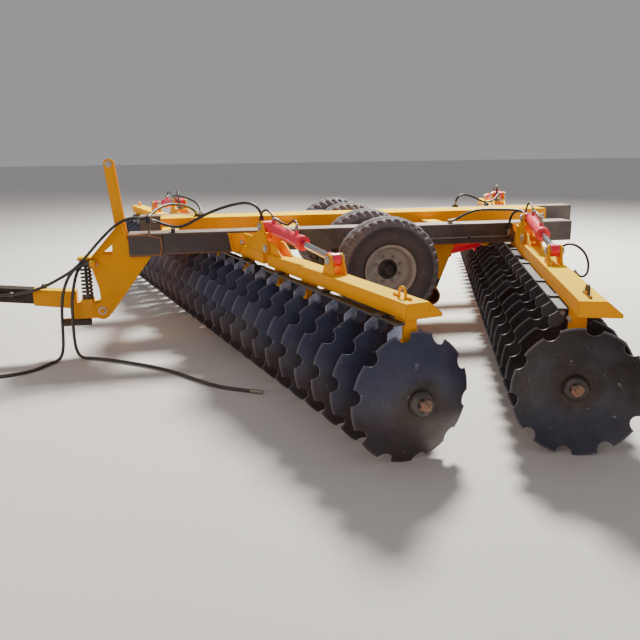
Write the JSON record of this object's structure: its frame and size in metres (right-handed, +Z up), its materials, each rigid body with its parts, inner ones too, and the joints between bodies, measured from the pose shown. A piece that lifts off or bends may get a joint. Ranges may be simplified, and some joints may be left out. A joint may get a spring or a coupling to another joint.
{
  "type": "offset disc harrow",
  "caption": "Trailed offset disc harrow: notched disc gangs in a V under a heavy frame, hydraulically folding wings, a rockshaft with raised transport wheels, and a drawbar with a parking jack.",
  "frame": {"origin": "on the ground, under the middle of the machine's box", "axes": "+X forward along the rails, towards the hitch; +Y to the machine's left; +Z up"},
  "size_m": [6.9783, 6.985, 1.5499],
  "materials": {
    "yellow_paint": "gloss enamel, dusty and worn at the edges",
    "black_paint": "near-black enamel under dust",
    "red_paint": "gloss enamel",
    "disc_steel": "blued and polished by soil, brown stains",
    "spool_iron": "rough casting with soil and rust",
    "chrome": "hard chrome",
    "tyre": "dusty rubber",
    "wheel_paint": "dusty grey enamel",
    "spring_steel": "dark oiled steel",
    "jack_steel": "zinc plated",
    "hose_rubber": "dusty black hydraulic hose"
  },
  "bodies": {
    "root": {"rails": "black_paint", "spine": "yellow_paint", "cross_members": "yellow_paint", "middle_beams": "yellow_paint", "middle_stands": "yellow_paint", "middle_scrapers": "disc_steel", "fold_towers": "yellow_paint", "rockshaft_hangers": "yellow_paint", "drawbar_plates": "yellow_paint", "mast": "yellow_paint", "drawbar_spring": "spring_steel", "frame_hoses": "hose_rubber", "drop_hose": "hose_rubber", "hose_coil": "hose_rubber", "ground_hose": "hose_rubber", "ground_coupling": "jack_steel"},
    "front_left_wing": {"front_left_beam": "yellow_paint", "front_left_stands": "yellow_paint", "front_left_scrapers": "disc_steel"},
    "front_left_gang": {"front_left_discs": "disc_steel", "front_left_axle": "spool_iron"},
    "front_left_barrel": {"front_left_fold_barrel": "red_paint"},
    "front_left_rod": {"front_left_fold_rod": "chrome"},
    "front_right_wing": {"front_right_beam": "yellow_paint", "front_right_stands": "yellow_paint", "front_right_scrapers": "disc_steel"},
    "front_right_gang": {"front_right_discs": "disc_steel", "front_right_axle": "spool_iron"},
    "front_right_barrel": {"front_right_fold_barrel": "red_paint"},
    "front_right_rod": {"front_right_fold_rod": "chrome"},
    "front_middle_gang": {"front_middle_discs": "disc_steel", "front_middle_axle": "spool_iron"},
    "rear_left_wing": {"rear_left_beam": "yellow_paint", "rear_left_stands": "yellow_paint", "rear_left_scrapers": "disc_steel"},
    "rear_left_gang": {"rear_left_discs": "disc_steel", "rear_left_axle": "spool_iron"},
    "rear_left_barrel": {"rear_left_fold_barrel": "red_paint"},
    "rear_left_rod": {"rear_left_fold_rod": "chrome"},
    "rear_right_wing": {"rear_right_beam": "yellow_paint", "rear_right_stands": "yellow_paint", "rear_right_scrapers": "disc_steel"},
    "rear_right_gang": {"rear_right_discs": "disc_steel", "rear_right_axle": "spool_iron"},
    "rear_right_barrel": {"rear_right_fold_barrel": "red_paint"},
    "rear_right_rod": {"rear_right_fold_rod": "chrome"},
    "rear_middle_gang": {"rear_middle_discs": "disc_steel", "rear_middle_axle": "spool_iron"},
    "lift": {"rockshaft": "yellow_paint", "wheel_arms": "yellow_paint"},
    "left_wheel_pair": {"left_tyres": "tyre", "left_wheels": "wheel_paint"},
    "right_wheel_pair": {"right_tyres": "tyre", "right_wheels": "wheel_paint"},
    "lift_cylinder": {"lift_barrel": "red_paint"},
    "lift_cylinder_rod": {"lift_rod": "chrome"},
    "drawbar_arm": {"drawbar": "yellow_paint", "jack_tube": "yellow_paint", "supply_hoses": "hose_rubber"},
    "jack_foot": {"jack_leg": "jack_steel"}
  },
  "joints": [
    {"name": "front_left_fold", "type": "hinge", "parent": "root", "child": "front_left_wing", "pos_m": [0.40166, 1.39364, 0.9], "axis": [0.9659, 0.2588, 0], "range_deg": [0, 90]},
    {"name": "front_left_gang_spin", "type": "hinge", "parent": "front_left_wing", "child": "front_left_gang", "pos_m": [0.16402, 2.37715, 0.3555], "axis": [-0.2588, 0.9659, 0], "continuous": true},
    {"name": "front_left_barrel_turn", "type": "hinge", "parent": "root", "child": "front_left_barrel", "pos_m": [0.43013, 1.28739, 1.05], "axis": [0.9659, 0.2588, 0], "range_deg": [-0.5, 91.61]},
    {"name": "front_left_rod_slide", "type": "slide", "parent": "front_left_barrel", "child": "front_left_rod", "axis": [-0.2578, 0.962, -0.0897], "range_m": [-0.2644, 0.002]},
    {"name": "front_right_fold", "type": "hinge", "parent": "root", "child": "front_right_wing", "pos_m": [1.14085, -1.36504, 0.9], "axis": [-0.9659, -0.2588, 0], "range_deg": [0, 90]},
    {"name": "front_right_gang_spin", "type": "hinge", "parent": "front_right_wing", "child": "front_right_gang", "pos_m": [1.4268, -2.33561, 0.3555], "axis": [-0.2588, 0.9659, 0], "continuous": true},
    {"name": "front_right_barrel_turn", "type": "hinge", "parent": "root", "child": "front_right_barrel", "pos_m": [1.11238, -1.25879, 1.05], "axis": [-0.9659, -0.2588, 0], "range_deg": [-0.5, 91.61]},
    {"name": "front_right_rod_slide", "type": "slide", "parent": "front_right_barrel", "child": "front_right_rod", "axis": [0.2578, -0.962, -0.0897], "range_m": [-0.2644, 0.002]},
    {"name": "front_middle_gang_spin", "type": "hinge", "parent": "root", "child": "front_middle_gang", "pos_m": [0.79541, 0.02077, 0.3555], "axis": [-0.2588, 0.9659, 0], "continuous": true},
    {"name": "rear_left_fold", "type": "hinge", "parent": "root", "child": "rear_left_wing", "pos_m": [-1.65519, 1.38291, 0.9], "axis": [0.9483, -0.3173, 0], "range_deg": [0, 90]},
    {"name": "rear_left_gang_spin", "type": "hinge", "parent": "rear_left_wing", "child": "rear_left_gang", "pos_m": [-1.31053, 2.3342, 0.3555], "axis": [0.3173, 0.9483, 0], "continuous": true},
    {"name": "rear_left_barrel_turn", "type": "hinge", "parent": "root", "child": "rear_left_barrel", "pos_m": [-1.69009, 1.27859, 1.05], "axis": [0.9483, -0.3173, 0], "range_deg": [-0.5, 91.61]},
    {"name": "rear_left_rod_slide", "type": "slide", "parent": "rear_left_barrel", "child": "rear_left_rod", "axis": [0.316, 0.9445, -0.0897], "range_m": [-0.2644, 0.002]},
    {"name": "rear_right_fold", "type": "hinge", "parent": "root", "child": "rear_right_wing", "pos_m": [-2.56141, -1.3255, 0.9], "axis": [-0.9483, 0.3173, 0], "range_deg": [0, 90]},
    {"name": "rear_right_gang_spin", "type": "hinge", "parent": "rear_right_wing", "child": "rear_right_gang", "pos_m": [-2.85866, -2.29267, 0.3555], "axis": [0.3173, 0.9483, 0], "continuous": true},
    {"name": "rear_right_barrel_turn", "type": "hinge", "parent": "root", "child": "rear_right_barrel", "pos_m": [-2.52651, -1.22119, 1.05], "axis": [-0.9483, 0.3173, 0], "range_deg": [-0.5, 91.61]},
    {"name": "rear_right_rod_slide", "type": "slide", "parent": "rear_right_barrel", "child": "rear_right_rod", "axis": [-0.316, -0.9445, -0.0897], "range_m": [-0.2644, 0.002]},
    {"name": "rear_middle_gang_spin", "type": "hinge", "parent": "root", "child": "rear_middle_gang", "pos_m": [-2.08459, 0.02077, 0.3555], "axis": [0.3173, 0.9483, 0], "continuous": true},
    {"name": "wheel_lift", "type": "hinge", "parent": "root", "child": "lift", "pos_m": [-0.99459, 0.02077, 0.37], "axis": [0, 1, 0], "range_deg": [0, 65]},
    {"name": "left_wheels_spin", "type": "hinge", "parent": "lift", "child": "left_wheel_pair", "pos_m": [-0.54459, 0.74077, 0.655], "axis": [0, 1, 0], "continuous": true},
    {"name": "right_wheels_spin", "type": "hinge", "parent": "lift", "child": "right_wheel_pair", "pos_m": [-0.54459, -0.69923, 0.655], "axis": [0, 1, 0], "continuous": true},
    {"name": "lift_barrel_turn", "type": "hinge", "parent": "root", "child": "lift_cylinder", "pos_m": [-1.83459, 0.02077, 0.7], "axis": [0, 1, 0], "range_deg": [-2.59, 0.5]},
    {"name": "lift_rod_slide", "type": "slide", "parent": "lift_cylinder", "child": "lift_cylinder_rod", "axis": [0.9783, 0, -0.2073], "range_m": [-0.002, 0.2146]},
    {"name": "drawbar_pivot", "type": "hinge", "parent": "root", "child": "drawbar_arm", "pos_m": [1.73641, 0.75577, 0.363], "axis": [0, 1, 0], "range_deg": [-8, 8], "deforming": ["drawbar_spring", "supply_hoses"]},
    {"name": "jack_slide", "type": "slide", "parent": "drawbar_arm", "child": "jack_foot", "axis": [0, 0, 1], "range_m": [-0.15, 0.19]}
  ],
  "couplings": [
    {"joint": "front_left_barrel_turn", "follows": "front_left_fold", "ratio": 1.0123},
    {"joint": "front_left_rod_slide", "follows": "front_left_fold", "m_per_rad": -0.16704},
    {"joint": "front_right_barrel_turn", "follows": "front_right_fold", "ratio": 1.0123},
    {"joint": "front_right_rod_slide", "follows": "front_right_fold", "m_per_rad": -0.16704},
    {"joint": "rear_left_barrel_turn", "follows": "rear_left_fold", "ratio": 1.0123},
    {"joint": "rear_left_rod_slide", "follows": "rear_left_fold", "m_per_rad": -0.16704},
    {"joint": "rear_right_barrel_turn", "follows": "rear_right_fold", "ratio": 1.0123},
    {"joint": "rear_right_rod_slide", "follows": "rear_right_fold", "m_per_rad": -0.16704},
    {"joint": "lift_barrel_turn", "follows": "wheel_lift", "ratio": -0.032149},
    {"joint": "lift_rod_slide", "follows": "wheel_lift", "m_per_rad": 0.18744}
  ]
}
